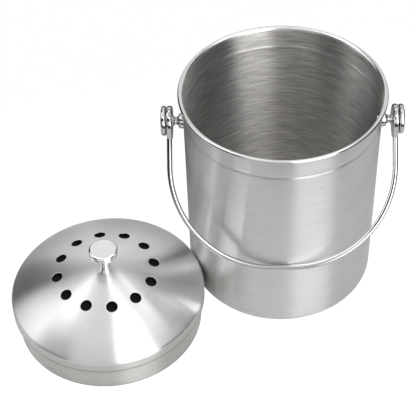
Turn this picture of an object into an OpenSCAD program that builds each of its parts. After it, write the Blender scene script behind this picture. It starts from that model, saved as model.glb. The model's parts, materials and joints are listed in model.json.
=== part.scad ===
// Stainless steel compost caddy: a straight pail with a rolled rim and a swinging
// bail handle, and a domed, vented lid with a knob and a charcoal filter inside.
// The origin is the centre of the pail's base, +Z is up and the handle turns about X.

/* [Pail] */
// Height of the pail to the top of its rolled rim
pail_height = 211; // [170:1:260]
// Outer radius of the pail wall
pail_radius = 87; // [75:0.5:105]
// Sheet thickness of the pail
pail_sheet = 0.7; // [0.5:0.05:1]
// Outer radius of the rounded corner at the base
base_corner_radius = 8.5; // [5:0.5:12]
// Radius of the curl at the outside of the rim
rim_curl_radius = 1.6; // [1.4:0.1:2]
// Radius of the roll between the inside wall and the top of the rim
rim_roll_radius = 3.1; // [2.4:0.1:4]
// Height of the pressed bead's centre below the top of the rim
bead_drop = 21.8; // [20:0.1:40]
// Half height of the pressed bead
bead_half_height = 2.3; // [2:0.1:4]
// Depth that the bead is pressed into the pail
bead_depth = 0.5; // [0.4:0.1:1.4]

/* [Handle pivots] */
// Height of the pivot axis below the top of the rim
pivot_drop = 34.7; // [32:0.1:50]
// Radius of the round foot of each pivot post
post_foot_radius = 7; // [6:0.5:9]
// Width of the shoulder that the post's collar puts beside the eye plate
post_collar_lip = 0.9; // [0.6:0.1:2]
// Radius of the post's waist
post_waist_radius = 3.4; // [3:0.1:4]
// Radius of the journal that the eye plate turns on
journal_radius = 4; // [3.5:0.1:4.4]
// Distance from the wall to the middle of the eye plate
eye_offset = 12.2; // [12:0.1:16]
// Thickness of the eye plate
eye_thickness = 5.2; // [4.4:0.1:6.4]
// Radius of the eye plate and of the outer cap
eye_radius = 13.3; // [10:0.1:15]
// Thickness of the outer cap
cap_thickness = 5; // [3.4:0.1:6.5]
// Nominal radius of the pivot screws
pivot_screw_radius = 2; // [1.5:0.1:2.4]
// Radius of a pivot screw's head
pivot_head_radius = 4; // [3.2:0.1:5]
// Height of a pivot screw's head
pivot_head_height = 2.3; // [1.6:0.1:3]
// Thickness of the seal washer at its thinnest
seal_washer_thickness = 1.3; // [0.8:0.1:2]
// Width of the seal washer outside the screw's head
seal_washer_rim = 1.5; // [0.5:0.1:3]

/* [Handle] */
// Diameter of the handle wire
wire_diameter = 4.7; // [3.5:0.1:5]
// Distance of the wire outside the middle of the eye plate
wire_offset = 0.4; // [0:0.1:0.5]
// Distance from the pivot axis to the wire's centre at the middle of the bail
handle_reach = 130.6; // [108:0.1:160]
// Length of the straight stretch at the middle of the bail
handle_middle_length = 19.2; // [10:0.2:60]
// Distance from the pivot axis to the tip of the eye plate's tongue
tongue_reach = 16.5; // [15:0.5:22]
// Half width of the tongue at its tip
tongue_tip_half_width = 5; // [3:0.1:6]

/* [Lid] */
// Sheet thickness of the lid
lid_sheet = 0.7; // [0.5:0.05:1]
// Clearance between the lid's skirt and the bead's ridge inside the pail
lid_skirt_clearance = 0.3; // [0.3:0.1:1.2]
// Height of the skirt below the step that rests on the rim
lid_skirt_height = 24.7; // [15:0.1:26]
// Distance of the lid's outer band inside the outer edge of the pail's rim
lid_band_inset = 1.8; // [0:0.1:2.4]
// Height of the outer band from the step to the start of the shoulder
lid_band_height = 9.4; // [6:0.1:14]
// Radius of the shoulder between band and dome
lid_shoulder_radius = 5; // [3:0.1:8]
// Radius of the dome's sphere
lid_dome_radius = 140; // [115:1:220]
// Outer radius of the bends at the step
lid_bend_radius = 1.2; // [1:0.1:1.6]
// Radius of the flat seat under the knob
knob_seat_radius = 8; // [7:0.5:11]
// Number of vent holes
vent_count = 12; // [6:1:16]
// Diameter of each vent hole
vent_diameter = 10.4; // [6:0.1:12]
// Radius of the circle that the vent holes lie on
vent_circle_radius = 44.6; // [36:0.1:52]
// Direction of the first vent hole
vent_first_angle = 11.3; // [0:0.1:30]
// Gap between the lid's band and the pail's wall as the lid lies beside it
lid_pail_gap = 0.5; // [0.5:0.1:40]
// Direction of the lid from the pail
lid_direction = 204.6; // [195:0.1:240]

/* [Knob] */
// Largest radius of the knob
knob_radius = 13.2; // [11:0.1:16]
// Height of the knob above its seat
knob_height = 21.2; // [18:0.1:26]
// Radius of the knob's waist
knob_waist_radius = 4.8; // [4:0.1:6]
// Radius of the rounding at the top edge
knob_top_round = 2.3; // [1.5:0.1:3]
// Radius of the rounding under the knob's cap
knob_under_round = 4.6; // [3.5:0.1:5]
// Crown of the knob's top face
knob_crown = 0.2; // [0.1:0.1:1]
// Nominal radius of the knob's screw
knob_screw_radius = 2; // [1.5:0.1:2.5]
// Length of screw inside the knob
knob_screw_grip = 10; // [6:0.5:13]

/* [Filter] */
// Radius of the charcoal filter
filter_radius = 58; // [52:0.5:70]
// Thickness of the charcoal filter
filter_thickness = 7; // [4:0.5:9]
// Thickness of the grille that carries the filter
grille_thickness = 2.4; // [1.8:0.1:4]
// Radius of the grille's hub
grille_hub_radius = 8; // [6.5:0.5:10]
// Number of the grille's spokes
spoke_count = 8; // [4:1:12]
// Width of each spoke
spoke_width = 3.2; // [2:0.1:5]

/* [Fits] */
// Radial running clearance of the eye plate on its journal
journal_clearance = 0.05; // [0.02:0.01:0.1]
// Radial clearance around a screw in a threaded hole
thread_clearance = 0.05; // [0.02:0.01:0.1]
// Radial clearance around a screw in a plain hole
screw_hole_clearance = 0.2; // [0.1:0.05:0.4]
// Gap left on each side of parts that turn or lie against each other
side_gap = 0.3; // [0.3:0.05:0.5]
// Gap between the eye plate and the outer cap
cap_gap = 0.5; // [0.3:0.05:0.8]
// Gap between curved faces that are clamped together
seat_gap = 0.03; // [0.02:0.01:0.05]

/* [Hidden] */
$fn = 96;

// Pail
pail_inner_radius = pail_radius - pail_sheet;
rim_centre_radius = pail_inner_radius + rim_roll_radius;
rim_outer_radius = rim_centre_radius + rim_curl_radius;
wall_top_z = pail_height - rim_roll_radius;
bead_z = pail_height - bead_drop;
bead_arc_radius = (bead_half_height * bead_half_height + bead_depth * bead_depth) / (2 * bead_depth);
pivot_z = pail_height - pivot_drop;

// Handle pivots, measured along the pivot axis from the pail's axis
post_ball_offset = 0.8;
post_lip = 0.4;
waist_cut_radius = 2.4;
screw_tip_margin = 1.2;
eye_middle_x = pail_radius + eye_offset;
eye_inner_x = eye_middle_x - eye_thickness / 2;
eye_outer_x = eye_middle_x + eye_thickness / 2;
collar_x = eye_inner_x - side_gap;
cap_inner_x = eye_outer_x + cap_gap;
cap_outer_x = cap_inner_x + cap_thickness;
post_ball_x = pail_radius + post_ball_offset;
post_collar_radius = journal_radius + post_collar_lip;
waist_cut_x = collar_x - post_lip - waist_cut_radius;
washer_x = pail_inner_radius - seal_washer_thickness;
washer_radius = pivot_head_radius + seal_washer_rim;

// Handle
wire_radius = wire_diameter / 2;
wire_middle_x = eye_middle_x + wire_offset;
rest_angle = asin((pail_radius + wire_radius + side_gap) / handle_reach);
corner_centre_x = handle_middle_length / 2;
handle_corner_radius = wire_middle_x - corner_centre_x;
corner_centre_s = handle_reach - handle_corner_radius;

// Lid, in its own frame with the foot of the skirt at z = 0
lid_band_radius = rim_outer_radius - lid_band_inset;
lid_distance = pail_radius + lid_band_radius + lid_pail_gap;
lid_x = lid_distance * cos(lid_direction);
lid_y = lid_distance * sin(lid_direction);
skirt_radius = pail_inner_radius - bead_depth - lid_skirt_clearance;
step_z = lid_skirt_height;
shoulder_z = step_z + lid_band_height;
shoulder_x = lid_band_radius - lid_shoulder_radius;
dome_reach = lid_dome_radius - lid_shoulder_radius;
dome_centre_z = shoulder_z - sqrt(dome_reach * dome_reach - shoulder_x * shoulder_x);
seat_drop = lid_dome_radius - sqrt(lid_dome_radius * lid_dome_radius - knob_seat_radius * knob_seat_radius);
seat_z = dome_centre_z + lid_dome_radius - seat_drop;
vent_tilt = asin(vent_circle_radius / lid_dome_radius);

// Knob, above its seat
knob_edge_z = knob_height - knob_crown - knob_top_round;
knob_side_height = 1.9;
knob_under_z = knob_edge_z - knob_side_height;
knob_under_x = knob_radius - knob_under_round;
waist_z = 1;
waist_reach_z = knob_under_z - waist_z;
// The waist's arc touches the rounding under the cap and leaves the waist's radius
waist_gap_x = knob_under_x - knob_waist_radius;
waist_arc = (waist_gap_x * waist_gap_x + waist_reach_z * waist_reach_z
    - knob_under_round * knob_under_round) / (2 * (knob_under_round + waist_gap_x));
knob_face_radius = knob_radius - knob_top_round;
crown_radius = (knob_face_radius * knob_face_radius + knob_crown * knob_crown) / (2 * knob_crown);

// Filter and its grille
dome_inner_radius = lid_dome_radius - lid_sheet;
filter_edge_drop = sqrt(dome_inner_radius * dome_inner_radius - filter_radius * filter_radius);
filter_top_z = dome_centre_z + filter_edge_drop - side_gap;
grille_top_z = filter_top_z - filter_thickness;
grille_bottom_z = grille_top_z - grille_thickness;
hub_top_z = seat_z - lid_sheet;
knob_washer_thickness = 1;
knob_washer_radius = knob_screw_radius + 3.5;
knob_head_height = 2.4;
knob_head_radius = knob_screw_radius + 2;

steel = "silver";
polished = "gainsboro";
dark = "dimgray";

// Quarter ring of a bend, centred on the origin and opening toward +X, +Y
module quarter_bend(outer, inner) {
    intersection() {
        difference() {
            circle(r = outer);
            circle(r = inner);
        }
        square(outer + 1);
    }
}

// Half section of the pail's sheet, from the base to the rolled rim
module pail_section() {
    square([pail_radius - base_corner_radius, pail_sheet]);
    translate([pail_radius - base_corner_radius, base_corner_radius])
        mirror([0, 1]) quarter_bend(base_corner_radius, base_corner_radius - pail_sheet);
    pail_wall_section();
    pail_curl_section();
}

// The straight wall with its inward bead
module pail_wall_section() {
    arc_x = pail_radius + bead_arc_radius - bead_depth;
    difference() {
        union() {
            translate([pail_inner_radius, base_corner_radius])
                square([pail_sheet, wall_top_z - base_corner_radius]);
            intersection() {
                translate([arc_x, bead_z]) circle(r = bead_arc_radius + pail_sheet);
                translate([0, bead_z - 2 * bead_half_height])
                    square([pail_inner_radius + 0.01, 4 * bead_half_height]);
            }
        }
        translate([arc_x, bead_z]) circle(r = bead_arc_radius);
    }
}

// The sheet rolled over the top and down into an open curl
module pail_curl_section() {
    curl_tail_drop = 0.75 * rim_curl_radius;
    translate([rim_centre_radius, wall_top_z])
        mirror([1, 0]) quarter_bend(rim_roll_radius, rim_roll_radius - pail_sheet);
    translate([rim_centre_radius, pail_height - rim_curl_radius]) difference() {
        circle(r = rim_curl_radius);
        circle(r = rim_curl_radius - pail_sheet);
        translate([-2 * rim_curl_radius, -curl_tail_drop])
            square([2 * rim_curl_radius, 3 * rim_curl_radius]);
    }
}

module pail_body() {
    color(steel) difference() {
        rotate_extrude() pail_section();
        for (side = [0, 180])
            rotate([0, 0, side]) translate([pail_radius - 5, 0, pivot_z]) rotate([0, 90, 0])
                cylinder(r = pivot_screw_radius + screw_hole_clearance, h = 10);
    }
}

// Places a piece that is turned about Z, with its height measured along the pivot axis
module along_pivot() {
    translate([0, 0, pivot_z]) rotate([0, 90, 0]) children();
}

module post_section() {
    difference() {
        union() {
            translate([0, post_ball_x]) intersection() {
                circle(r = post_foot_radius);
                translate([0, -post_foot_radius]) square([post_foot_radius, 2 * post_foot_radius]);
            }
            translate([0, post_ball_x]) square([post_collar_radius, collar_x - post_ball_x]);
            translate([0, post_ball_x]) square([journal_radius, cap_inner_x - post_ball_x]);
        }
        translate([post_waist_radius + waist_cut_radius, waist_cut_x]) circle(r = waist_cut_radius);
        translate([0, post_ball_x - post_foot_radius - 1])
            square([pivot_screw_radius + screw_hole_clearance, cap_inner_x]);
    }
}

module right_pivot_post() {
    color(polished) difference() {
        along_pivot() rotate_extrude() post_section();
        translate([0, 0, pivot_z - 20]) cylinder(r = pail_radius + seat_gap, h = 40, $fn = 720);
    }
}

module left_pivot_post() {
    mirror([1, 0, 0]) right_pivot_post();
}

module screw_head_section(head_radius, head_height) {
    crown = 0.9;
    dome = (head_radius * head_radius + crown * crown) / (2 * crown);
    intersection() {
        square([head_radius, head_height]);
        translate([0, dome]) circle(r = dome);
    }
}

module right_pivot_screw() {
    head_x = washer_x - pivot_head_height;
    tip_x = cap_outer_x - screw_tip_margin;
    color(polished) along_pivot() rotate_extrude() {
        translate([0, head_x]) screw_head_section(pivot_head_radius, pivot_head_height);
        translate([0, washer_x - 0.1]) square([pivot_screw_radius, tip_x - washer_x + 0.1]);
    }
}

module left_pivot_screw() {
    mirror([1, 0, 0]) right_pivot_screw();
}

module right_seal_washer() {
    color(dark) intersection() {
        along_pivot() translate([0, 0, washer_x]) difference() {
            cylinder(r = washer_radius, h = 4);
            translate([0, 0, -1]) cylinder(r = pivot_screw_radius + screw_hole_clearance, h = 6);
        }
        translate([0, 0, pivot_z - 20]) cylinder(r = pail_inner_radius - seat_gap, h = 40, $fn = 720);
    }
}

module left_seal_washer() {
    mirror([1, 0, 0]) right_seal_washer();
}

// Disc with rounded edges, lying on z = 0
module round_edged_disc(radius, thickness, edge) {
    rotate_extrude() {
        square([radius - edge, thickness]);
        for (height = [edge, thickness - edge])
            translate([radius - edge, height]) circle(r = edge);
        translate([0, edge]) square([radius, thickness - 2 * edge]);
    }
}

// Swings a piece drawn in the bail's own plane to where the handle hangs
module hanging() {
    translate([0, 0, pivot_z]) rotate([270 - rest_angle, 0, 0]) children();
}

// Tapered tongue of the eye plate, from the tangent of the disc to its tip
module tongue_outline() {
    tangent = acos((eye_radius - tongue_tip_half_width) / tongue_reach);
    edge_x = eye_radius * sin(tangent);
    edge_s = eye_radius * cos(tangent);
    polygon([[-edge_x, edge_s], [0, 0], [edge_x, edge_s],
        [tongue_tip_half_width, tongue_reach], [-tongue_tip_half_width, tongue_reach]]);
}

module right_handle_eye() {
    eye_edge = 2;
    tongue_inset = 0.3;
    color(polished) hanging() difference() {
        union() {
            translate([eye_inner_x, 0, 0]) rotate([0, 90, 0])
                round_edged_disc(eye_radius, eye_thickness, eye_edge);
            translate([eye_inner_x + tongue_inset, 0, 0]) rotate([90, 0, 90])
                linear_extrude(eye_thickness - 2 * tongue_inset) tongue_outline();
        }
        translate([eye_inner_x - 1, 0, 0]) rotate([0, 90, 0])
            cylinder(r = journal_radius + journal_clearance, h = eye_thickness + 2);
    }
}

module left_handle_eye() {
    mirror([1, 0, 0]) right_handle_eye();
}

module right_pivot_cap() {
    cap_edge = 1.5;
    face_crown = 0.9;
    face_sphere = (eye_radius * eye_radius + face_crown * face_crown) / (2 * face_crown);
    color(polished) along_pivot() translate([0, 0, cap_inner_x]) rotate_extrude() difference() {
        intersection() {
            union() {
                square([eye_radius - cap_edge, cap_thickness]);
                translate([0, cap_edge]) square([eye_radius, cap_thickness - 2 * cap_edge]);
                for (height = [cap_edge, cap_thickness - cap_edge])
                    translate([eye_radius - cap_edge, height]) circle(r = cap_edge);
            }
            translate([0, cap_thickness - face_sphere]) circle(r = face_sphere, $fn = 200);
        }
        square([pivot_screw_radius + thread_clearance, cap_thickness - screw_tip_margin + 0.2]);
    }
}

module left_pivot_cap() {
    mirror([1, 0, 0]) right_pivot_cap();
}

module wire_leg() {
    leg_start = tongue_reach;
    translate([wire_middle_x, leg_start, 0]) rotate([-90, 0, 0])
        cylinder(r = wire_radius, h = corner_centre_s - leg_start);
}

module wire_corner() {
    translate([corner_centre_x, corner_centre_s, 0])
        rotate_extrude(angle = 90) translate([handle_corner_radius, 0]) circle(r = wire_radius);
}

module handle_wire() {
    color(polished) hanging() {
        wire_leg();
        mirror([1, 0, 0]) wire_leg();
        wire_corner();
        mirror([1, 0, 0]) wire_corner();
        translate([-corner_centre_x, handle_reach, 0]) rotate([0, 90, 0])
            cylinder(r = wire_radius, h = 2 * corner_centre_x);
    }
}

// Solid half section above the band, with dome and shoulder both drawn in by inset
module dome_fill(inset) {
    shoulder_reach = (lid_shoulder_radius - inset) * shoulder_x / dome_reach;
    intersection() {
        translate([0, dome_centre_z]) circle(r = lid_dome_radius - inset, $fn = 360);
        translate([0, shoulder_z]) square([shoulder_x + shoulder_reach, seat_z - inset - shoulder_z]);
    }
    intersection() {
        translate([shoulder_x, shoulder_z]) circle(r = lid_shoulder_radius - inset);
        translate([shoulder_x, shoulder_z]) square(lid_shoulder_radius);
    }
}

module lid_section() {
    bend = lid_bend_radius;
    inner_bend = bend - lid_sheet;
    difference() {
        dome_fill(0);
        dome_fill(lid_sheet);
    }
    // Outer band and its lower bend
    translate([lid_band_radius - lid_sheet, step_z + bend])
        square([lid_sheet, shoulder_z - step_z - bend]);
    translate([lid_band_radius - bend, step_z + bend]) mirror([0, 1]) quarter_bend(bend, inner_bend);
    // Step that rests on the rim
    translate([skirt_radius - lid_sheet + bend, step_z])
        square([lid_band_radius - bend - skirt_radius + lid_sheet - bend, lid_sheet]);
    // Upper bend of the skirt and the skirt itself
    translate([skirt_radius - lid_sheet + bend, step_z + lid_sheet - bend])
        mirror([1, 0]) quarter_bend(bend, inner_bend);
    translate([skirt_radius - lid_sheet, 0]) square([lid_sheet, step_z + lid_sheet - bend]);
}

// Moves a piece drawn about the lid's axis to where the lid lies
module at_lid() {
    translate([lid_x, lid_y, 0]) children();
}

module vent_tool() {
    translate([vent_circle_radius, 0, 0])
        translate([0, 0, dome_centre_z + sqrt(lid_dome_radius ^ 2 - vent_circle_radius ^ 2)])
            rotate([0, vent_tilt, 0]) translate([0, 0, -4]) cylinder(d = vent_diameter, h = 8);
}

module lid_shell() {
    color(steel) at_lid() difference() {
        rotate_extrude($fn = 180) lid_section();
        for (index = [0 : vent_count - 1])
            rotate([0, 0, vent_first_angle + index * 360 / vent_count]) vent_tool();
        translate([0, 0, seat_z - 5]) cylinder(r = knob_screw_radius + screw_hole_clearance, h = 10);
    }
}

module knob_section() {
    waist_centre_x = knob_waist_radius + waist_arc;
    difference() {
        union() {
            square([knob_under_x, knob_edge_z]);
            translate([knob_under_x, knob_under_z]) circle(r = knob_under_round);
            translate([0, knob_under_z]) square([knob_radius, knob_edge_z - knob_under_z]);
            translate([0, knob_edge_z]) square([knob_face_radius, knob_top_round]);
            translate([knob_face_radius, knob_edge_z]) circle(r = knob_top_round);
            translate([0, knob_height - crown_radius]) intersection() {
                circle(r = crown_radius, $fn = 400);
                translate([0, crown_radius - knob_crown]) square([knob_face_radius, knob_crown + 1]);
            }
        }
        translate([waist_centre_x, waist_z]) circle(r = waist_arc);
        square([knob_screw_radius + thread_clearance, knob_screw_grip + 0.5]);
        translate([-knob_radius, 0]) square([knob_radius, knob_height + 1]);
        translate([-1, -knob_height]) square([3 * knob_radius, knob_height]);
    }
}

module lid_knob() {
    color(polished) at_lid() translate([0, 0, seat_z]) rotate_extrude() knob_section();
}

module knob_screw() {
    head_top = grille_bottom_z - knob_washer_thickness;
    color(polished) at_lid() rotate_extrude() {
        translate([0, head_top - knob_head_height]) screw_head_section(knob_head_radius, knob_head_height);
        translate([0, head_top - 0.1])
            square([knob_screw_radius, seat_z + knob_screw_grip - head_top + 0.1]);
    }
}

module knob_washer() {
    color(polished) at_lid() translate([0, 0, grille_bottom_z - knob_washer_thickness]) difference() {
        cylinder(r = knob_washer_radius, h = knob_washer_thickness);
        translate([0, 0, -1])
            cylinder(r = knob_screw_radius + screw_hole_clearance, h = knob_washer_thickness + 2);
    }
}

module grille_ring(inner, outer) {
    difference() {
        cylinder(r = outer, h = grille_thickness);
        translate([0, 0, -1]) cylinder(r = inner, h = grille_thickness + 2);
    }
}

module filter_grille() {
    ring_width = 3;
    ring_radii = [filter_radius, filter_radius * 2 / 3, filter_radius / 3];
    color(dark) at_lid() translate([0, 0, grille_bottom_z]) difference() {
        union() {
            for (radius = ring_radii) grille_ring(radius - ring_width, radius);
            for (index = [0 : spoke_count - 1])
                rotate([0, 0, index * 360 / spoke_count]) translate([0, -spoke_width / 2, 0])
                    cube([filter_radius - ring_width / 2, spoke_width, grille_thickness]);
            cylinder(r = grille_hub_radius, h = hub_top_z - grille_bottom_z);
        }
        translate([0, 0, -1])
            cylinder(r = knob_screw_radius + screw_hole_clearance, h = hub_top_z - grille_bottom_z + 2);
    }
}

module charcoal_filter() {
    color([0.1, 0.1, 0.1]) at_lid() translate([0, 0, grille_top_z]) difference() {
        cylinder(r = filter_radius, h = filter_thickness);
        translate([0, 0, -1]) cylinder(r = grille_hub_radius + side_gap, h = filter_thickness + 2);
    }
}

pail_body();
left_pivot_post();
right_pivot_post();
left_pivot_screw();
right_pivot_screw();
left_seal_washer();
right_seal_washer();
left_handle_eye();
right_handle_eye();
left_pivot_cap();
right_pivot_cap();
handle_wire();
lid_shell();
lid_knob();
knob_screw();
knob_washer();
filter_grille();
charcoal_filter();
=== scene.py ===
# A stainless steel compost caddy: an open pail with a wire bail hanging in front of it, and
# its domed, vented lid lying beside it. All sizes are in metres, in the frame of the parts.
import json
import math

import bmesh
import bpy
import numpy as np
from mathutils import Matrix, Vector, noise


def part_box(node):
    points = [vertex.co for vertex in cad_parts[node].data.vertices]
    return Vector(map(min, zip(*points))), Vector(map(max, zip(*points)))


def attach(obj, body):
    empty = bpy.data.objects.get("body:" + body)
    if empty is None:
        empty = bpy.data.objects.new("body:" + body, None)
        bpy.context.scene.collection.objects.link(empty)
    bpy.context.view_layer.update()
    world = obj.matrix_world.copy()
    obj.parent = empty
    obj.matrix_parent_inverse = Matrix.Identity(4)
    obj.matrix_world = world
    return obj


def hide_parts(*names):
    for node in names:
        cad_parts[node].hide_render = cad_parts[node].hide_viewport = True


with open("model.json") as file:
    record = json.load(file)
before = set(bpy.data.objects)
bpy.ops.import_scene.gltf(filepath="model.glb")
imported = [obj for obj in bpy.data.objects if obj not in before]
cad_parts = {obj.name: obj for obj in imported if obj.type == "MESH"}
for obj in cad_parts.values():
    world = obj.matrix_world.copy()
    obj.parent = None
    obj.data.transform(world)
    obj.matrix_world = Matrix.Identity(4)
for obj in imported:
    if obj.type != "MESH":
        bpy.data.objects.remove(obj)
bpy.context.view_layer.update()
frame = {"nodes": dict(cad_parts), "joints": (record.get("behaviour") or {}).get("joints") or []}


# ---- Pail ----
# One deep-drawn cup of 0.7 mm stainless sheet. A shallow bead is pressed in below the top, and
# the edge is rolled outward and under into a polished rim. The rest is brushed as it spins.
mm = 0.001
sheet = 0.7 * mm
point_merge = 0.0001 * mm
mesh_merge = 0.001 * mm
wall_radius = 87 * mm
base_corner = 8.5 * mm
bead_drop = 21.8 * mm
bead_depth = 0.5 * mm
bead_half_height = 2.8 * mm
rim_roll = 3.1 * mm
rim_curl = 1.6 * mm
curl_end_angle = -131.4
polish_end_angle = 135
curl_polish_angle = 15
pail_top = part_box("pail_body")[1].z
steel_colour = (0.85, 0.833, 0.81)
# The inside is coloured darker than the outside of the same steel: painted shade inside the pail.
shaded_inner_colour = (0.62, 0.608, 0.594)
# Half the width of each painted shade line in brushed steel.
shade_line_half_width = 1.8 * mm
rim_colour = (0.8, 0.794, 0.782)


def arc(centre, radius, start, end, steps=10):
    """Points of a section round an arc, between two angles in degrees."""
    angles = np.radians(np.linspace(start, end, steps + 1))
    return [(centre[0] + radius * math.cos(a), centre[1] + radius * math.sin(a)) for a in angles]


def rise(radius, start, end, steps=10):
    """Points of a section straight up or down a wall."""
    return [(radius, height) for height in np.linspace(start, end, steps + 1)]


def lengths_along(points):
    """How far each point is from the first, measured from point to point."""
    steps = [math.dist(a, b) for a, b in zip(points, points[1:])]
    return np.concatenate([[0], np.cumsum(steps)])


def skin(name, rows, along, finishes, sharp_angle=32):
    """A smooth mesh over rows of points, each row a closed ring. The UV map runs from row to
    row, by the distances in along, and then round the ring. A row's finish is that of the
    faces that lead to it, and None leaves them out."""
    rows = np.asarray(rows, float)
    count = rows.shape[1]
    faces = []
    corners = []
    numbers = []
    for row in range(len(rows) - 1):
        if finishes[row + 1] is None:
            continue
        for column in range(count):
            near = row * count
            far = near + count
            right = (column + 1) % count
            faces.append((near + column, near + right, far + right, far + column))
            start, end = column / count, (column + 1) / count
            corners += [(along[row], start), (along[row], end),
                        (along[row + 1], end), (along[row + 1], start)]
            numbers.append(finishes[row + 1])
    mesh = bpy.data.meshes.new(name)
    mesh.from_pydata(rows.reshape(-1, 3).tolist(), [], faces)
    mesh.uv_layers.new(name="UVMap").data.foreach_set("uv", np.array(corners).ravel())
    mesh.polygons.foreach_set("material_index", numbers)
    shell = bmesh.new()
    shell.from_mesh(mesh)
    bmesh.ops.remove_doubles(shell, verts=shell.verts, dist=mesh_merge)
    loose = [vertex for vertex in shell.verts if not vertex.link_faces]
    bmesh.ops.delete(shell, geom=loose, context="VERTS")
    shell.to_mesh(mesh)
    shell.free()
    return smoothed(mesh, sharp_angle)


def smoothed(mesh, sharp_angle=32):
    """Shades a mesh smooth, and keeps the edges that turn by more than an angle sharp."""
    mesh.polygons.foreach_set("use_smooth", [True] * len(mesh.polygons))
    mesh.set_sharp_from_angle(angle=math.radians(sharp_angle))
    return mesh


def spin(name, stretches, steps=288, sharp_angle=32):
    """Turns a half section about Z. Each stretch is its points and the number of its finish.
    A point is (radius, height), or (radius, height, flats) for a ring with flat sides."""
    points = []
    finishes = []
    for stretch, number in stretches:
        for point in stretch:
            if not points or math.dist(point[:2], points[-1][:2]) > point_merge:
                points.append(point)
                finishes.append(number)
    along = lengths_along([point[:2] for point in points])
    turns = np.radians(np.arange(steps) * 360 / steps)
    rows = []
    for radius, height, *flats in points:
        reach = np.full(steps, radius)
        if flats:
            half = math.pi / flats[0]
            reach = radius * math.cos(half) / np.cos((turns + half) % (2 * half) - half)
        rows.append(np.stack([reach * np.cos(turns), reach * np.sin(turns),
                              np.full(steps, height)], axis=1))
    return skin(name, rows, along, finishes, sharp_angle)


def piece(name, mesh, body, slot, finishes, *nodes):
    """Shows a mesh as a piece that moves with a body and stands for the parts named."""
    shown = bpy.data.objects.new(name, mesh)
    bpy.context.scene.collection.objects.link(shown)
    for finish in finishes:
        mesh.materials.append(finish)
    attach(shown, body)
    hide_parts(*nodes)


def bead(radius, height):
    """The pressed bead in a wall, a smooth wave inward."""
    return [(radius - bead_depth * (0.5 + 0.5 * math.cos(math.pi * wave)),
             height + wave * bead_half_height) for wave in np.linspace(-1, 1, 19)]


class Shade:
    """One socket of a node tree. Arithmetic on it adds Math nodes to the same tree."""

    def __init__(self, tree, socket=None):
        self.tree = tree
        self.socket = socket

    def node(self, kind, settings=None, inputs=None, output=0):
        """Adds any node: its settings are set first, then its sockets' values or links."""
        added = self.tree.nodes.new(kind)
        for name, value in (settings or {}).items():
            setattr(added, name, value)
        for name, value in (inputs or {}).items():
            linked = value if isinstance(value, list) else [value]
            if isinstance(linked[0], Shade):
                for source in linked:
                    self.tree.links.new(source.socket, added.inputs[name])
            else:
                added.inputs[name].default_value = value
        return Shade(self.tree, added.outputs[output] if len(added.outputs) else None)

    def maths(self, operation, *others):
        values = dict(enumerate((self,) + others))
        return self.node("ShaderNodeMath", {"operation": operation}, values)

    def blend(self, low, high):
        """A colour between two, by this value."""
        return self.node("ShaderNodeMix", {"data_type": "RGBA"},
                         {0: self, 6: low, 7: high}, output=2)

    def __add__(self, other):
        return self.maths("ADD", other)

    def __sub__(self, other):
        return self.maths("SUBTRACT", other)

    def __rsub__(self, other):
        return self * -1 + other

    def __mul__(self, other):
        return self.maths("MULTIPLY", other)

    def __truediv__(self, other):
        return self.maths("DIVIDE", other)

    __radd__ = __add__
    __rmul__ = __mul__


def new_finish(name):
    """An empty node material, and a Shade to build it with."""
    material = bpy.data.materials.new(name)
    material.use_nodes = True
    material.node_tree.nodes.clear()
    return material, Shade(material.node_tree)


def tinted(colour, share):
    """A colour made lighter or darker, with its alpha."""
    return tuple(min(1, channel * share) for channel in colour) + (1,)


def brushed_steel(name, colour, contrast, roughness, anisotropy, line_pitch, line_length,
                  line_depth=0.005 * mm, shade_lines=()):
    """Steel brushed round its axis. Streaks round the piece vary its colour, roughness and
    relief, and its highlights are drawn out across them, up the wall or towards the middle.
    Shade lines, at distances along the section, are painted darker as painted shade."""
    material, shade = new_finish(name)
    place = shade.node("ShaderNodeTexCoord", output="Object")
    plan_x = shade.node("ShaderNodeSeparateXYZ", inputs={0: place}, output="X")
    plan_y = shade.node("ShaderNodeSeparateXYZ", inputs={0: place}, output="Y")
    sheet_map = shade.node("ShaderNodeUVMap", {"uv_map": "UVMap"})
    along = shade.node("ShaderNodeSeparateXYZ", inputs={0: sheet_map}, output="X")

    def streaks(pitch, length, detail):
        where = shade.node("ShaderNodeCombineXYZ", inputs={
            "X": plan_x * (1 / length), "Y": plan_y * (1 / length), "Z": along * (1 / pitch)})
        return shade.node("ShaderNodeTexNoise", inputs={
            "Vector": where, "Scale": 1, "Detail": detail, "Roughness": 0.62})

    fine = streaks(line_pitch, line_length, 4) - 0.5
    broad = streaks(line_pitch * 8, line_length * 2, 2) - 0.5
    tone = (fine * 2 + broad * 0.5) * contrast + 0.5
    # Each shade line darkens the colour towards it: painted shade.
    for shade_line in shade_lines:
        off_shade_line = (along - shade_line).maths("ABSOLUTE") * (1 / shade_line_half_width)
        tone = tone * off_shade_line.maths("MINIMUM", 1)
    relief = shade.node("ShaderNodeBump", inputs={
        "Strength": 1.0, "Distance": line_depth, "Height": fine})
    steel = shade.node("ShaderNodeBsdfPrincipled", inputs={
        "Base Color": tone.blend(tinted(colour, 0.5), tinted(colour, 1.5)),
        "Metallic": 1.0, "Roughness": roughness + fine * 0.12,
        "Anisotropic": anisotropy, "Anisotropic Rotation": 0.25, "Normal": relief})
    shade.node("ShaderNodeOutputMaterial", inputs={"Surface": steel})
    return material


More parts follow.
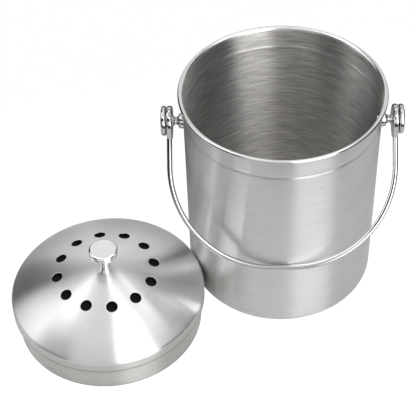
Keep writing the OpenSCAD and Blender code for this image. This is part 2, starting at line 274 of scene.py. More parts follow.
def polished_metal(name, colour, roughness, wear):
    """Buffed or plated metal, with faint wipe marks that dull it in patches."""
    material, shade = new_finish(name)
    place = shade.node("ShaderNodeTexCoord", output="Object")
    haze = shade.node("ShaderNodeTexNoise", inputs={
        "Vector": place, "Scale": 140, "Detail": 3, "Roughness": 0.6})
    marks = shade.node("ShaderNodeTexNoise", inputs={
        "Vector": place, "Scale": 1400, "Detail": 2, "Roughness": 0.7})
    relief = shade.node("ShaderNodeBump", inputs={
        "Strength": 0.08, "Distance": 0.01 * mm, "Height": marks})
    metal = shade.node("ShaderNodeBsdfPrincipled", inputs={
        "Base Color": haze.blend(tinted(colour, 0.93), tinted(colour, 1)), "Metallic": 1.0,
        "Roughness": (haze - 0.5) * wear + (marks - 0.5) * (wear / 2) + roughness,
        "Normal": relief})
    shade.node("ShaderNodeOutputMaterial", inputs={"Surface": metal})
    return material


inner_radius = wall_radius - sheet
base_radius = wall_radius - base_corner
base_centre = (base_radius, base_corner)
roll_centre = (inner_radius + rim_roll, pail_top - rim_roll)
curl_centre = (inner_radius + rim_roll, pail_top - rim_curl)
bead_height = pail_top - bead_drop
bead_foot = bead_height - bead_half_height
bead_head = bead_height + bead_half_height
brushed, buffed, inner = range(3)
pail_mesh = spin("pail", [
    ([(base_radius * share, 0) for share in (0, 0.3, 0.6, 0.9)], brushed),
    (arc(base_centre, base_corner, -90, 0, 14), brushed),
    (rise(wall_radius, base_corner, bead_foot, 14) + bead(wall_radius, bead_height), brushed),
    (rise(wall_radius, bead_head, roll_centre[1], 3), brushed),
    (arc(roll_centre, rim_roll - sheet, 180, 90), buffed),
    (arc(curl_centre, rim_curl - sheet, 90, curl_end_angle, 14), buffed),
    (arc(curl_centre, rim_curl, curl_end_angle, curl_polish_angle, 14), brushed),
    (arc(curl_centre, rim_curl, curl_polish_angle, 90, 8), buffed),
    (arc(roll_centre, rim_roll, 90, polish_end_angle, 6), buffed),
    (arc(roll_centre, rim_roll, polish_end_angle, 180, 4), inner),
    (rise(inner_radius, roll_centre[1], bead_head, 3), inner),
    (bead(inner_radius, bead_height)[::-1]
     + rise(inner_radius, bead_foot, base_corner, 14), inner),
    (arc(base_centre, base_corner - sheet, 0, -90, 14), inner),
    ([(base_radius * share, sheet) for share in (0.9, 0.7, 0.5, 0.3, 0.1, 0)], inner)])
pail_steel = brushed_steel("brushed_pail_steel", steel_colour, contrast=0.2, roughness=0.3,
                           anisotropy=0.97, line_pitch=0.9 * mm, line_length=22 * mm)
rim_steel = polished_metal("buffed_rim", rim_colour, roughness=0.06, wear=0.04)
# The inside is the same steel painted darker, as painted shade inside the pail; its rougher,
# stronger streaks are its own.
shaded_inner_steel = brushed_steel("pail_inside_painted_shade", shaded_inner_colour, contrast=0.85, roughness=0.36,
                            anisotropy=1.0, line_pitch=1.1 * mm, line_length=20 * mm,
                            line_depth=0.02 * mm)
piece("pail", pail_mesh, "pail", "pail_steel", [pail_steel, rim_steel, shaded_inner_steel],
      "pail_body")


# ---- Pivot posts ----
# On each side a turned and plated post stands on the wall: a ball foot, a round groove, a
# collar and the journal that the handle's eye turns on.
pivot_height = frame["joints"][0]["pos_m"][2]
eye_middle = 99.2 * mm
eye_thickness = 5.2 * mm
side_gap = 0.3 * mm
cap_gap = 0.5 * mm
ball_radius = 7 * mm
ball_centre = (0, 87.8 * mm)
foot_end = 86.78 * mm
collar_radius = 4.9 * mm
collar_lip = 0.4 * mm
groove_radius = 2.4 * mm
groove_depth_radius = 3.4 * mm
journal_radius = 4 * mm
edge_break = 0.12 * mm
chrome_colour = (0.6, 0.595, 0.588)

chrome = polished_metal("pivot_chrome_plate", chrome_colour, roughness=0.05, wear=0.03)
sides = ((-1, "left"), (1, "right"))
collar_end = eye_middle - eye_thickness / 2 - side_gap
cap_start = eye_middle + eye_thickness / 2 + cap_gap
groove_centre = (groove_depth_radius + groove_radius, collar_end - collar_lip - groove_radius)


def lay_along_pivot(mesh, side):
    """Turns a mesh that was spun about Z so that its top points out of the pail's side."""
    mesh.transform(Matrix.Rotation(math.radians(90), 4, "Y"))
    if side < 0:
        mesh.transform(Matrix.Rotation(math.pi, 4, "Z"))
    mesh.transform(Matrix.Translation((0, 0, pivot_height)))
    return mesh


def turned_post():
    """The post's section, in which the groove starts where its circle meets the ball's."""
    across = groove_centre[0] - ball_centre[0]
    up = groove_centre[1] - ball_centre[1]
    apart = math.hypot(across, up)
    share = (ball_radius ** 2 + apart ** 2 - groove_radius ** 2) / (2 * ball_radius * apart)
    leave = math.degrees(math.atan2(up, across) - math.acos(share))
    foot = math.degrees(math.asin((foot_end - ball_centre[1]) / ball_radius))
    ball = arc(ball_centre, ball_radius, foot, leave, 24)
    enter = math.degrees(math.atan2(ball[-1][1] - groove_centre[1],
                                    ball[-1][0] - groove_centre[0])) % 360
    exit_angle = math.degrees(math.acos((collar_radius - groove_centre[0]) / groove_radius))
    return ([(0, foot_end)] + ball + arc(groove_centre, groove_radius, enter, exit_angle, 24)[1:]
            + [(collar_radius, collar_end - edge_break), (collar_radius - edge_break, collar_end),
               (journal_radius, collar_end), (journal_radius, cap_start), (0, cap_start)])


for side, word in sides:
    post = lay_along_pivot(spin(word + "_post", [(turned_post(), 0)], steps=96), side)
    piece(word + "_post", post, "pail", "pivot_chrome", [chrome], word + "_pivot_post")


# ---- Pivot screws and seals ----
# A hex-socket screw goes through the wall, the post and the journal into the outer cap. Its
# head clamps a black rubber washer against the inside of the wall, which keeps the hole tight.
screw_head_radius = 4 * mm
screw_head_start = 82.7 * mm
screw_head_end = 85 * mm
screw_radius = 2 * mm
screw_end = 106.1 * mm
socket_radius = 1.6 * mm
socket_depth = 1.3 * mm
socket_lip = 0.08 * mm
socket_flare = 0.15 * mm
bright_colour = (0.74, 0.73, 0.715)
rubber_colour = (0.035, 0.035, 0.037)


def socket_screw(head_start, head_end, thread_end, head_radius):
    """The section of a round-headed screw, from its hex socket to the end of its thread."""
    lip = head_start + socket_lip
    dome = [(head_radius * math.sin(a), head_start + (head_end - head_start) * 0.5
             * (1 - math.cos(a))) for a in np.linspace(0.55, math.pi / 2, 10)]
    return [(0, head_start + socket_depth), (socket_radius, head_start + socket_depth, 6),
            (socket_radius, lip, 6), (socket_radius + socket_flare, head_start)] + dome + [
            (head_radius, head_end - edge_break), (head_radius - edge_break, head_end),
            (screw_radius, head_end), (screw_radius, thread_end), (0, thread_end)]


def rubber(name, colour):
    """Moulded black rubber with a fine pebbled skin."""
    material, shade = new_finish(name)
    place = shade.node("ShaderNodeTexCoord", output="Object")
    pebbles = shade.node("ShaderNodeTexNoise", inputs={
        "Vector": place, "Scale": 2600, "Detail": 3, "Roughness": 0.6})
    bloom = shade.node("ShaderNodeTexNoise", inputs={
        "Vector": place, "Scale": 260, "Detail": 2, "Roughness": 0.5})
    relief = shade.node("ShaderNodeBump", inputs={
        "Strength": 0.5, "Distance": 0.03 * mm, "Height": pebbles})
    skin_shader = shade.node("ShaderNodeBsdfPrincipled", inputs={
        "Base Color": bloom.blend(tinted(colour, 0.7), tinted(colour, 1.5)),
        "Roughness": bloom * 0.3 + 0.5, "Normal": relief})
    shade.node("ShaderNodeOutputMaterial", inputs={"Surface": skin_shader})
    return material


bright_steel = polished_metal("bright_screw_steel", bright_colour, roughness=0.2, wear=0.08)
seal_rubber = rubber("seal_rubber", rubber_colour)
screw_section = socket_screw(screw_head_start, screw_head_end, screw_end, screw_head_radius)
for side, word in sides:
    screw = lay_along_pivot(spin(word + "_screw", [(screw_section, 0)], steps=96), side)
    piece(word + "_screw", screw, "pail", "screw_steel", [bright_steel], word + "_pivot_screw")
    washer = frame["nodes"][word + "_seal_washer"]
    washer.data.materials.clear()
    washer.data.materials.append(seal_rubber)


# ---- Pivot caps ----
# A thick round cap, domed and plated like the post, is screwed on outside the eye and keeps
# the handle on its journal.
eye_radius = 13.3 * mm
cap_thickness = 5 * mm
cap_edge = 1.7 * mm
cap_crown = 0.9 * mm

cap_sphere = (eye_radius ** 2 + cap_crown ** 2) / (2 * cap_crown)
cap_flat_radius = eye_radius - cap_edge
crown_start = math.degrees(math.asin(cap_flat_radius / cap_sphere))
crown_centre = (0, cap_start + cap_thickness - cap_sphere)
crown = arc(crown_centre, cap_sphere, 90 - crown_start, 90, 16)
outer_edge_centre = (crown[0][0] - cap_edge * math.sin(math.radians(crown_start)),
                     crown[0][1] - cap_edge * math.cos(math.radians(crown_start)))
cap_section = (
    [(0, cap_start)]
    + arc((eye_radius - cap_edge, cap_start + cap_edge), cap_edge, -90, 0, 10)
    + arc(outer_edge_centre, cap_edge, 0, 90 - crown_start, 10) + crown)
for side, word in sides:
    cap = lay_along_pivot(spin(word + "_cap", [(cap_section, 0)], steps=128), side)
    piece(word + "_cap", cap, "pail", "pivot_chrome", [chrome], word + "_pivot_cap")


# ---- Handle eyes ----
# Each end of the bail is an eye plate, a thick round plate with rounded edges and a short
# tongue, which turns on the journal and carries the wire at the tongue's end.
eye_edge = 1.9 * mm
eye_bore = 4.05 * mm
bore_break = 0.25 * mm
tongue_reach = 16.5 * mm
tongue_corner = 2.1 * mm
tongue_half_width = 5 * mm
wire_radius = 2.35 * mm
handle_reach = 130.6 * mm
handle_colour = (0.6, 0.595, 0.588)

rest_lean = math.asin((wall_radius + wire_radius + side_gap) / handle_reach)
hang_down = Vector((0, -math.sin(rest_lean), -math.cos(rest_lean)))
hang_out = Vector((0, math.cos(rest_lean), -math.sin(rest_lean)))
handle_chrome = polished_metal("handle_chrome_plate", handle_colour, roughness=0.06, wear=0.03)


def hanging(out, down, across):
    """A point of the hanging handle, from its distances out of and in the bail's plane."""
    return Vector((across, 0, pivot_height)) + hang_down * down + hang_out * out


def eye_outline(inset):
    """The plate's outline, drawn in by an inset: the round of the eye and two small rounds at
    the tongue's tip, joined by their common tangents."""
    tip = (tongue_half_width - tongue_corner, tongue_reach - tongue_corner)
    apart = math.hypot(*tip)
    tangent = math.degrees(math.atan2(tip[1], tip[0])
                           - math.acos((eye_radius - tongue_corner) / apart))
    return (arc(tip, tongue_corner - inset, tangent, 90, 10)
            + arc((-tip[0], tip[1]), tongue_corner - inset, 90, 180 - tangent, 10)
            + arc((0, 0), eye_radius - inset, 180 - tangent, 360 + tangent, 90))


def eye_plate(name, middle):
    """The plate's skin, in rings that go from the bore over the edge and back to the bore."""
    half = eye_thickness / 2
    directions = [math.atan2(down, out) for out, down in eye_outline(0)]
    flat_out = half - eye_edge

    def bore(radius):
        return [(radius * math.cos(a), radius * math.sin(a)) for a in directions]

    rounding = [(eye_edge * (1 - math.cos(a)), flat_out + eye_edge * math.sin(a))
                for a in np.linspace(math.pi / 2, 0, 9)]
    rings = [(bore(eye_bore), half - bore_break), (bore(eye_bore + bore_break), half)]
    rings += [(eye_outline(inset), height) for inset, height in rounding]
    rings += [(ring, -height) for ring, height in rings[::-1]]
    rings.append(rings[0])
    rows = [[hanging(out, down, middle + height) for out, down in ring]
            for ring, height in rings]
    return skin(name, rows, lengths_along([row[0] for row in rows]), [0] * len(rows))


for side, word in sides:
    plate = eye_plate(word + "_eye", side * eye_middle)
    piece(word + "_eye", plate, "handle", "handle_chrome", [handle_chrome], word + "_handle_eye")


# ---- Bail ----
# One 4.7 mm steel wire bent in two quarter rounds with a short straight middle. Its ends are
# welded into the tongues of the eye plates.
wire_middle = 99.6 * mm
straight_half = 9.6 * mm
weld_depth = 3 * mm
corner_steps = 72
wire_sides = 40

bend_radius = wire_middle - straight_half
bend_start = handle_reach - bend_radius


def bail_wire():
    """The wire's skin, in rings square to its route from the right eye to the left."""
    leg = [(wire_middle, down, 0) for down in np.linspace(tongue_reach - weld_depth, bend_start, 6)]
    bend = [(straight_half + bend_radius * math.cos(a), bend_start + bend_radius * math.sin(a), a)
            for a in np.linspace(0, math.pi / 2, corner_steps)]
    right_half = leg[:-1] + bend
    left_half = [(-across, down, math.pi - a) for across, down, a in right_half[::-1]]
    route = right_half + left_half
    round_wire = np.radians(np.arange(wire_sides) * 360 / wire_sides)
    rows = []
    for across, down, a in route:
        rows.append([hanging(wire_radius * math.sin(t),
                             down + wire_radius * math.cos(t) * math.sin(a),
                             across + wire_radius * math.cos(t) * math.cos(a))
                     for t in round_wire])
    centres = [hanging(0, down, across) for across, down, a in route]
    rows = [[centres[0]] * wire_sides] + rows + [[centres[-1]] * wire_sides]
    centres = [centres[0]] + centres + [centres[-1]]
    return skin("bail", rows, lengths_along(centres), [0] * len(rows))


piece("bail", bail_wire(), "handle", "handle_chrome", [handle_chrome], "handle_wire")


# ---- Lid ----
# A spun lid of the same sheet: a skirt that enters the pail, a step that rests on its rim, a
# band, a tight shoulder and a shallow dome. Twelve punched vents stand in a ring round the knob.
lid_low, lid_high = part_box("lid_shell")
skirt_radius = 85.5 * mm
skirt_height = 24.7 * mm
band_radius = 89.2 * mm
band_height = 9.4 * mm
lid_bend = 1.2 * mm
shoulder_radius = 5 * mm
dome_radius = 140 * mm
seat_radius = 8 * mm
vent_count = 12
vent_radius = 5.2 * mm
vent_circle = 44.6 * mm
vent_ring_half_width = 8 * mm
vent_first_angle = 11.3
vent_lip = 0.16 * mm
vent_edge_slope = 0.6
copy_merge = 0.01 * mm
# The band and skirt are coloured darker than the dome of the same steel, as painted shade.
shaded_band_colour = (0.64, 0.628, 0.61)
# The vents' walls are painted nearly black, as painted shade inside the holes.
vent_edge_shade_colour = (0.1, 0.1, 0.1)
lid_colour = (0.9, 0.884, 0.86)

lid_axis = ((lid_low.x + lid_high.x) / 2, (lid_low.y + lid_high.y) / 2)
inner_bend = lid_bend - sheet
shoulder_centre = (band_radius - shoulder_radius, skirt_height + band_height)
dome_drop = math.sqrt((dome_radius - shoulder_radius) ** 2 - shoulder_centre[0] ** 2)
dome_centre = (0, shoulder_centre[1] - dome_drop)
shoulder_angle = math.degrees(math.atan2(dome_drop, shoulder_centre[0]))


def dome_angle(radius):
    """The angle up from the horizontal, seen from the dome's centre, at a plan radius."""
    return math.degrees(math.acos(radius / dome_radius))


ring_outer_angle = dome_angle(vent_circle + vent_ring_half_width)
ring_inner_angle = dome_angle(vent_circle - vent_ring_half_width)
seat_angle = dome_angle(seat_radius)
skirt_bend = (skirt_radius + inner_bend, skirt_height - inner_bend)
band_bend = (band_radius - lid_bend, skirt_height + lid_bend)
outer_dome = arc(dome_centre, dome_radius, shoulder_angle, ring_outer_angle, 36)
inner_dome = arc(dome_centre, dome_radius, ring_inner_angle, seat_angle, 24)
seat_height = inner_dome[-1][1]
lid_outer_part = (
    rise(skirt_radius, 0, skirt_bend[1], 10)
    + arc(skirt_bend, inner_bend, 180, 90, 6)
    + arc(band_bend, lid_bend, -90, 0, 8)
    + rise(band_radius, band_bend[1], shoulder_centre[1], 5)
    + arc(shoulder_centre, shoulder_radius, 0, shoulder_angle, 16) + outer_dome)
lid_inner_part = inner_dome + [(seat_radius * share, seat_height) for share in (0.7, 0.4, 0)]


def punched_sector(name, ring_start):
    """One sector of the vent ring with its hole. Its border has a point at each degree, as the
    spun sheet has, and the hole's edge is drawn down into a small lip."""
    half = 180 // vent_count
    width = ring_inner_angle - ring_outer_angle
    outer_arc = [(ring_outer_angle, turn) for turn in range(-half, half)]
    inner_arc = [(ring_inner_angle, turn) for turn in range(half, -half, -1)]
    side_steps = 18
    right_side = [(ring_outer_angle + width * i / side_steps, half) for i in range(side_steps)]
    left_side = [(ring_inner_angle - width * i / side_steps, -half) for i in range(side_steps)]
    border = [(math.radians(a), math.radians(t))
              for a, t in outer_arc + right_side + inner_arc + left_side]
    middle = math.radians(dome_angle(vent_circle))
    opening = math.asin(vent_radius / dome_radius)
    hole = []
    for angle, turn in border:
        way = math.atan2(angle - middle, turn * math.cos(middle))
        rise_angle = math.asin(math.sin(middle) * math.cos(opening)
                               + math.cos(middle) * math.sin(opening) * math.sin(way))
        side_angle = math.atan2(math.sin(opening) * math.cos(way),
                                math.cos(middle) * math.cos(opening)
                                - math.sin(middle) * math.sin(opening) * math.sin(way))
        hole.append((rise_angle, side_angle))
    rows = []
    for share, sunk in ((0, vent_lip), (0.02, vent_lip * 0.35), (0.05, vent_lip * 0.06),
                        (0.1, 0), (0.2, 0), (0.35, 0), (0.55, 0), (0.78, 0), (1, 0)):
        row = []
        for (hole_angle, hole_turn), (angle, turn) in zip(hole, border):
            a = hole_angle + (angle - hole_angle) * share
            t = hole_turn + (turn - hole_turn) * share
            reach = dome_radius - sunk
            row.append((reach * math.cos(a) * math.cos(t), reach * math.cos(a) * math.sin(t),
                        dome_centre[1] + reach * math.sin(a)))
        rows.append(row)
    mesh = skin(name, rows[::-1], list(range(len(rows))), [0] * len(rows), sharp_angle=60)
    heights = np.array([mesh.vertices[loop.vertex_index].co for loop in mesh.loops])
    angles = np.arcsin((heights[:, 2] - dome_centre[1]) / np.linalg.norm(
        heights - np.array([0, 0, dome_centre[1]]), axis=1))
    around = np.arctan2(heights[:, 1], heights[:, 0]) / (2 * math.pi)
    along = ring_start + dome_radius * (angles - math.radians(ring_outer_angle))
    mesh.uv_layers[0].data.foreach_set("uv", np.stack([along, around], axis=1).ravel())
    return mesh


def new_tree(name, inputs):
    """An empty Geometry Nodes tree with named inputs, and a Shade to build it with."""
    tree = bpy.data.node_groups.new(name, "GeometryNodeTree")
    for word, kind in inputs:
        tree.interface.new_socket(word, in_out="INPUT", socket_type="NodeSocket" + kind)
    tree.interface.new_socket("Geometry", in_out="OUTPUT", socket_type="NodeSocketGeometry")
    return tree, Shade(tree)


def ring_of_copies(name):
    """A tree that sets copies of a part in a ring about Z and joins them to the piece."""
    tree, shade = new_tree(name, [("Geometry", "Geometry"), ("Part", "Object"),
                                  ("Copies", "Int"), ("Finish", "Material")])

    def given(word):
        return shade.node("NodeGroupInput", output=word)

    part = shade.node("GeometryNodeObjectInfo", {"transform_space": "ORIGINAL"},
                      {"Object": given("Part")}, output="Geometry")
    spots = shade.node("GeometryNodePoints", inputs={"Count": given("Copies")})
    turn = shade.node("GeometryNodeInputIndex") * (2 * math.pi) / given("Copies")
    facing = shade.node("FunctionNodeAxisAngleToRotation", inputs={
        "Axis": (0, 0, 1), "Angle": turn})
    copies = shade.node("GeometryNodeInstanceOnPoints", inputs={
        "Points": spots, "Instance": part, "Rotation": facing})
    real = shade.node("GeometryNodeRealizeInstances", inputs={"Geometry": copies})
    joined = shade.node("GeometryNodeJoinGeometry", inputs={
        "Geometry": [given("Geometry"), real]})
    welded = shade.node("GeometryNodeMergeByDistance", inputs={
        "Geometry": joined, "Distance": copy_merge})
    finished = shade.node("GeometryNodeSetMaterial", inputs={
        "Geometry": welded, "Material": given("Finish")})
    shade.node("NodeGroupOutput", inputs={"Geometry": finished})
    return tree


def with_copies(name, mesh, part_mesh, count, finish, thickness=0):
    """Joins a ring of copies of a part to a mesh, gives a sheet its thickness, and returns
    the result as a plain mesh. It has no material, and every face has finish number 0."""
    holder = bpy.data.objects.new(name, mesh)
    part = bpy.data.objects.new(name + "_part", part_mesh)
    for each in (holder, part):
        bpy.context.scene.collection.objects.link(each)
    tree = ring_of_copies(name)
    ring = holder.modifiers.new(name, "NODES")
    ring.node_group = tree
    values = {"Part": part, "Copies": count, "Finish": finish}
    for item in tree.interface.items_tree:
        if item.in_out == "INPUT" and item.name in values:
            ring[item.identifier] = values[item.name]
    if thickness:
        wall = holder.modifiers.new("sheet", "SOLIDIFY")
        wall.thickness = thickness
        wall.offset = -1
        wall.use_even_offset = True
    graph = bpy.context.evaluated_depsgraph_get()
    plain = bpy.data.meshes.new_from_object(holder.evaluated_get(graph), depsgraph=graph)
    plain.materials.clear()
    for each in (holder, part):
        bpy.data.objects.remove(each)
    return smoothed(plain)


# Painted shade lines at the skirt's foot, where it meets the floor, and at the step below the band.
step_shade_line = (skirt_bend[1] + math.radians(90) * (inner_bend + lid_bend)
               + band_bend[0] - skirt_bend[0])
lid_steel = brushed_steel("brushed_lid_steel", lid_colour, contrast=0.14, roughness=0.31,
                          anisotropy=0.975, line_pitch=0.8 * mm, line_length=26 * mm)
# The band and skirt: the lid's steel painted darker, as painted shade, with painted shade lines.
shaded_band_steel = brushed_steel("lid_band_painted_shade", shaded_band_colour, contrast=0.3, roughness=0.31,
                           anisotropy=0.97, line_pitch=0.9 * mm, line_length=26 * mm,
                           shade_lines=(0, step_shade_line))
# Painted shade on the vents' walls: near black, with the rough finish of a sheared edge as its own.
vent_edge_shade_steel = polished_metal("vent_edge_painted_shade", vent_edge_shade_colour, roughness=0.5, wear=0.1)
spun_lid = spin("spun_lid", [(lid_outer_part, 0), (lid_inner_part[:1], None),
                             (lid_inner_part[1:], 0)], steps=360)
sector = punched_sector("vent_sector", lengths_along(lid_outer_part)[-1])
lid_mesh = with_copies("lid", spun_lid, sector, vent_count, lid_steel, sheet)
# Faces below the shoulder take the darker band steel, which is painted shade.
on_shaded_vent_edge, on_shaded_band = 1, 2
dome_middle = Vector((0, 0, dome_centre[1]))
# Faces on the vents' walls take the painted shade finish.
for face in lid_mesh.polygons:
    outward = (face.center - dome_middle).normalized()
    on_ring = abs(face.center.xy.length - vent_circle) < vent_ring_half_width
    if on_ring and abs(face.normal.dot(outward)) < vent_edge_slope:
        face.material_index = on_shaded_vent_edge
    elif face.center.z < shoulder_centre[1]:
        face.material_index = on_shaded_band
lid_mesh.transform(Matrix.Rotation(math.radians(vent_first_angle), 4, "Z"))
lid_mesh.transform(Matrix.Translation((*lid_axis, 0)))
piece("lid", lid_mesh, "lid", "lid_steel", [lid_steel, vent_edge_shade_steel, shaded_band_steel],
      "lid_shell")


# ---- Knob ----
# A turned and chromed knob like a small mushroom. Its base stands on a flat in the lid's
# middle, and a screw from below holds it.
knob_radius = 13.2 * mm
knob_height = 21.2 * mm
knob_waist = 4.8 * mm
knob_top_round = 2.3 * mm
knob_under_round = 4.6 * mm
knob_side = 1.9 * mm
knob_crown = 0.2 * mm
knob_foot = 1 * mm
knob_colour = (0.941, 0.935, 0.924)

knob_edge = knob_height - knob_crown - knob_top_round
under_centre = (knob_radius - knob_under_round, knob_edge - knob_side)
waist_across = under_centre[0] - knob_waist
waist_up = under_centre[1] - knob_foot
waist_sweep = ((waist_across ** 2 + waist_up ** 2 - knob_under_round ** 2)
               / (2 * (knob_under_round + waist_across)))
waist_centre = (knob_waist + waist_sweep, knob_foot)
waist_end = math.degrees(math.atan2(waist_up, under_centre[0] - waist_centre[0]))
face_radius = knob_radius - knob_top_round
face_sphere = (face_radius ** 2 + knob_crown ** 2) / (2 * knob_crown)
face_start = math.degrees(math.acos(face_radius / face_sphere))
knob_section = (
    [(0, 0)]
    + arc(waist_centre, waist_sweep, 180 + math.degrees(math.asin(knob_foot / waist_sweep)),
          waist_end, 28)
    + arc(under_centre, knob_under_round, waist_end - 180, 0, 14)
    + arc((face_radius, knob_edge), knob_top_round, 0, 90, 14)
    + arc((0, knob_height - face_sphere), face_sphere, face_start, 90, 14))
knob_chrome = polished_metal("knob_chrome_plate", knob_colour, roughness=0.05, wear=0.03)
knob = spin("knob", [(knob_section, 0)], steps=160)
knob.transform(Matrix.Translation((*lid_axis, seat_height)))
piece("knob", knob, "lid", "knob_chrome", [knob_chrome], "lid_knob")


# ---- Filter grille ----
# A black moulded grille of three rings and eight spokes. Its hub is clamped under the middle
# of the dome, and it holds the filter up against the vents.
grille_low, grille_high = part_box("filter_grille")
hub_radius = 8 * mm
hub_bore = 2.2 * mm
filter_radius = 58 * mm
grille_ring_width = 3 * mm
grille_thickness = 2.4 * mm
spoke_width = 3.2 * mm
spoke_count = 8
spoke_overlap = 1 * mm
moulded_edge = 0.4 * mm
plastic_colour = (0.03, 0.03, 0.031)


def rounded_section(inner, outer, low, high, edge):
    """The section of a ring or bar with rounded edges, as a closed loop."""
    return (arc((outer - edge, low + edge), edge, -90, 0, 4)
            + arc((outer - edge, high - edge), edge, 0, 90, 4)
            + arc((inner + edge, high - edge), edge, 90, 180, 4)
            + arc((inner + edge, low + edge), edge, 180, 270, 4) + [(outer - edge, low)])


def moulded_plastic(name, colour):
    """Black injection-moulded plastic with a fine grain and slightly shinier patches."""
    material, shade = new_finish(name)
    place = shade.node("ShaderNodeTexCoord", output="Object")
    grain = shade.node("ShaderNodeTexVoronoi", inputs={"Vector": place, "Scale": 2200})
    patches = shade.node("ShaderNodeTexNoise", inputs={
        "Vector": place, "Scale": 90, "Detail": 3, "Roughness": 0.5})
    relief = shade.node("ShaderNodeBump", inputs={
        "Strength": 0.35, "Distance": 0.03 * mm, "Height": grain})
    plastic = shade.node("ShaderNodeBsdfPrincipled", inputs={
        "Base Color": patches.blend(tinted(colour, 0.8), tinted(colour, 1.4)),
        "Roughness": patches * 0.2 + 0.38, "Normal": relief})
    shade.node("ShaderNodeOutputMaterial", inputs={"Surface": plastic})
    return material


def spoke():
    """One spoke, a bar with rounded edges from the hub into the outer ring."""
    half = spoke_width / 2
    profile = rounded_section(-half, half, 0, grille_thickness, moulded_edge)[:-1]
    reaches = np.linspace(hub_radius - spoke_overlap, filter_radius - grille_ring_width / 2, 9)
    rows = [[(reach, y, grille_low.z + z) for y, z in profile] for reach in reaches]
    return skin("spoke", rows, reaches, [0] * len(rows))


grille_top = grille_low.z + grille_thickness
ring_stretches = [(rounded_section(hub_bore, hub_radius, grille_low.z, grille_high.z,
                                   moulded_edge), 0)]
for radius in (filter_radius / 3, filter_radius * 2 / 3, filter_radius):
    loop = rounded_section(radius - grille_ring_width, radius, grille_low.z, grille_top,
                           moulded_edge)
    ring_stretches += [(loop[:1], None), (loop[1:], 0)]
grille_plastic = moulded_plastic("moulded_grille_plastic", plastic_colour)
rings = spin("grille_rings", ring_stretches, steps=144)
grille = with_copies("grille", rings, spoke(), spoke_count, grille_plastic)
grille.transform(Matrix.Translation((*lid_axis, 0)))
piece("grille", grille, "lid", "grille_plastic", [grille_plastic], "filter_grille")


# ---- Charcoal filter ----
# A disc of open foam loaded with charcoal, cut round and pierced for the hub. Its faces and
# edge are rough with open cells.
foam_low, foam_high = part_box("charcoal_filter")
foam_inset = 0.35 * mm
foam_bore = 8.3 * mm
charcoal_colour = (0.016, 0.016, 0.017)


def charcoal_foam(name, colour):
    """Open-cell foam with charcoal: dull black, with pits between lighter strands."""
    material, shade = new_finish(name)
    place = shade.node("ShaderNodeTexCoord", output="Object")
    cells = shade.node("ShaderNodeTexVoronoi", {"feature": "DISTANCE_TO_EDGE"},
                       {"Vector": place, "Scale": 900})
    dust = shade.node("ShaderNodeTexNoise", inputs={
        "Vector": place, "Scale": 1500, "Detail": 4, "Roughness": 0.7})
    relief = shade.node("ShaderNodeBump", inputs={
        "Strength": 0.9, "Distance": 0.2 * mm, "Height": cells})
    foam = shade.node("ShaderNodeBsdfPrincipled", inputs={
        "Base Color": dust.blend(tinted(colour, 0.4), tinted(colour, 2.0)),
        "Roughness": dust * 0.2 + 0.75, "Specular IOR Level": 0.1, "Normal": relief})
    shade.node("ShaderNodeOutputMaterial", inputs={"Surface": foam})
    return material


def foam_disc():
    """The filter's skin, with its surface pushed in and out by the cells of the foam."""
    low = foam_low.z + foam_inset
    high = foam_high.z - foam_inset
    outer = filter_radius - foam_inset
    bore = foam_bore + foam_inset
    section = ([(radius, low) for radius in np.linspace(bore, outer, 34)]
               + rise(outer, low, high, 5)
               + [(radius, high) for radius in np.linspace(outer, bore, 34)]
               + rise(bore, high, low, 5))
    mesh = spin("filter", [(section, 0)], steps=240, sharp_angle=60)
    for vertex in mesh.vertices:
        push = noise.noise(vertex.co * 700) * foam_inset
        vertex.co += vertex.normal * push
    return mesh


foam = foam_disc()
foam.transform(Matrix.Translation((*lid_axis, 0)))
charcoal = charcoal_foam("charcoal_foam", charcoal_colour)
piece("filter", foam, "lid", "charcoal", [charcoal], "charcoal_filter")


# ---- Knob screw and washer ----
# A socket-head screw and a plain washer under the grille's hub, which pull the knob, the lid
# and the grille together.
knob_screw_low, knob_screw_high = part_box("knob_screw")
knob_washer_low, knob_washer_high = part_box("knob_washer")
washer_radius = 5.5 * mm
washer_bore = 2.2 * mm

knob_screw_section = socket_screw(knob_screw_low.z, knob_washer_low.z, knob_screw_high.z,
                                  screw_head_radius)
knob_screw = spin("lid_screw", [(knob_screw_section, 0)], steps=96)
knob_washer = spin("lid_washer", [(rounded_section(
    washer_bore, washer_radius, knob_washer_low.z, knob_washer_high.z, edge_break), 0)], steps=96)
for name, mesh, node in (("lid_screw", knob_screw, "knob_screw"),
                         ("lid_washer", knob_washer, "knob_washer")):
    mesh.transform(Matrix.Translation((*lid_axis, 0)))
    piece(name, mesh, "lid", "screw_steel", [bright_steel], node)


# ---- Studio ----
# A pale floor with a painted pool of light and painted shade round it, soft-edged lights in a
# dark room, and the camera. The floor is white to the eye where nothing shades it, but
# reflections see little of that white: they show the painted pool of light, the painted shade
# past its edges, and the dark room between the lights.
floor_half = 3.0
floor_drop = 0.1 * mm
# A painted pool of light on the floor, with painted shade past its soft edges, seen in reflections.
lit_pool_tone = (0.66, 0.66, 0.66, 1)
painted_floor_shade_tone = (0.03, 0.03, 0.03, 1)
lit_pool_front = -0.42
lit_pool_back = 0.12
lit_pool_half_width = 0.75
lit_pool_slant = 0.3
front_fade = 0.08
back_fade = 0.22
side_fade = 0.1
floor_white = 1.24
seen_whiteness = 0.8
reflected_whiteness = 0.03
room_glow = 0.02
light_edge = 5
# Each light's middle (turn from the front to the right, and height), half its width and half
# its height, all in degrees, and its strength
key_softbox = (32, 30, 20, 35, 4)
left_softbox = (260, 40, 20, 25, 1.7)
ring_light = (0, 62, 180, 5, 1.9)
ceiling = (0, 80, 180, 15, 0.8)
right_softbox = (85, 50, 25, 12, 0.9)
front_fill = (345, 20, 25, 15, 1.1)
back_fill = (170, 30, 45, 25, 0.8)

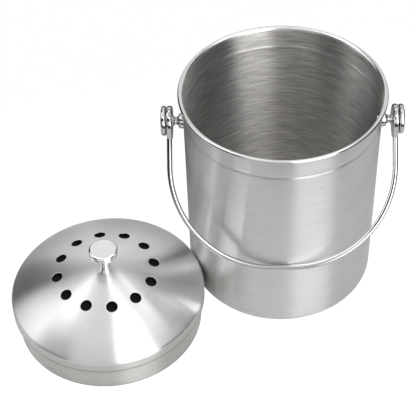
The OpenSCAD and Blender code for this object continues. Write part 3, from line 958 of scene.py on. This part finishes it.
floor_mesh = bpy.data.meshes.new("floor")
floor_mesh.from_pydata([(-floor_half, -floor_half, 0), (floor_half, -floor_half, 0),
                        (floor_half, floor_half, 0), (-floor_half, floor_half, 0)],
                       [], [(0, 1, 2, 3)])
floor = bpy.data.objects.new("floor", floor_mesh)
floor.location.z = -floor_drop
bpy.context.scene.collection.objects.link(floor)
floor_finish, floor_shade = new_finish("floor_painted_light_pool")


def ray(shade, word):
    """1 for one kind of ray, and 0 for the others."""
    return shade.node("ShaderNodeLightPath", output=word)


def inside(value, edge, fade):
    """1 well before an edge and 0 beyond it, with a soft change between."""
    return value.node("ShaderNodeMapRange", {"interpolation_type": "SMOOTHSTEP"}, {
        "Value": value, "From Min": edge + fade, "From Max": edge - fade})


seen = ray(floor_shade, "Is Camera Ray") + ray(floor_shade, "Is Transmission Ray")
whiteness = seen * seen_whiteness + ray(floor_shade, "Is Glossy Ray") * reflected_whiteness
floor_place = floor_shade.node("ShaderNodeTexCoord", output="Object")
floor_x = floor_shade.node("ShaderNodeSeparateXYZ", inputs={0: floor_place}, output="X")
floor_y = floor_shade.node("ShaderNodeSeparateXYZ", inputs={0: floor_place}, output="Y")
# Painted pool of light: pale inside these edges, painted shade beyond them.
along_y = floor_y - floor_x * lit_pool_slant
in_lit_pool = (inside(along_y, lit_pool_back, back_fade)
            * inside(along_y * -1, -lit_pool_front, front_fade)
            * inside(floor_x.maths("ABSOLUTE"), lit_pool_half_width, side_fade))
lit = floor_shade.node("ShaderNodeBsdfDiffuse", inputs={
    "Color": in_lit_pool.blend(painted_floor_shade_tone, lit_pool_tone)})
white = floor_shade.node("ShaderNodeEmission", inputs={
    "Color": (1, 1, 1, 1), "Strength": floor_white})
both = floor_shade.node("ShaderNodeMixShader", inputs={0: whiteness, 1: lit, 2: white})
floor_shade.node("ShaderNodeOutputMaterial", inputs={"Surface": both})
floor_mesh.materials.append(floor_finish)

world = bpy.data.worlds.new("studio")
bpy.context.scene.world = world
world.use_nodes = True
world.node_tree.nodes.clear()
sky = Shade(world.node_tree)
way = sky.node("ShaderNodeTexCoord", output="Generated")
way_x = sky.node("ShaderNodeSeparateXYZ", inputs={0: way}, output="X")
way_y = sky.node("ShaderNodeSeparateXYZ", inputs={0: way}, output="Y")
way_z = sky.node("ShaderNodeSeparateXYZ", inputs={0: way}, output="Z")
turn = way_x.maths("ARCTAN2", way_y * -1) * math.degrees(1)
height = way_z.maths("ARCSINE") * math.degrees(1)


def softbox(turn_middle, height_middle, half_width, half_height, strength):
    """The light of one soft-edged panel in each direction."""
    aside = (turn - turn_middle).maths("WRAP", 180, -180).maths("ABSOLUTE")
    above = (height - height_middle).maths("ABSOLUTE")
    return inside(aside, half_width, light_edge) * inside(above, half_height, light_edge) * strength


panels = (key_softbox, left_softbox, ring_light, ceiling, right_softbox, front_fill, back_fill)
light = sum(softbox(*panel) for panel in panels) + room_glow
to_eye = ray(sky, "Is Camera Ray") + ray(sky, "Is Transmission Ray")
strength = light * (1 - to_eye) + to_eye + ray(sky, "Is Glossy Ray") * room_glow
glow = sky.node("ShaderNodeBackground", inputs={"Color": (1, 1, 1, 1), "Strength": strength})
sky.node("ShaderNodeOutputWorld", inputs={"Surface": glow})

camera_place = (-32.53 * mm, -815.42 * mm, 901.31 * mm)
camera_yaw = 2.515
camera_pitch = -45.682
camera_roll = -2.223
camera_sensor = 36
camera_lens = 106.57
lens = bpy.data.cameras.new("camera")
lens.sensor_width = camera_sensor
lens.lens = camera_lens
lens.clip_start = 0.01
camera = bpy.data.objects.new("camera", lens)
camera.matrix_world = (
    Matrix.Translation(camera_place)
    @ Matrix.Rotation(math.radians(camera_yaw), 4, "Z")
    @ Matrix.Rotation(math.radians(90 + camera_pitch), 4, "X")
    @ Matrix.Rotation(math.radians(camera_roll), 4, "Z"))
bpy.context.scene.collection.objects.link(camera)
bpy.context.scene.camera = camera
bpy.context.scene.view_settings.view_transform = "Standard"
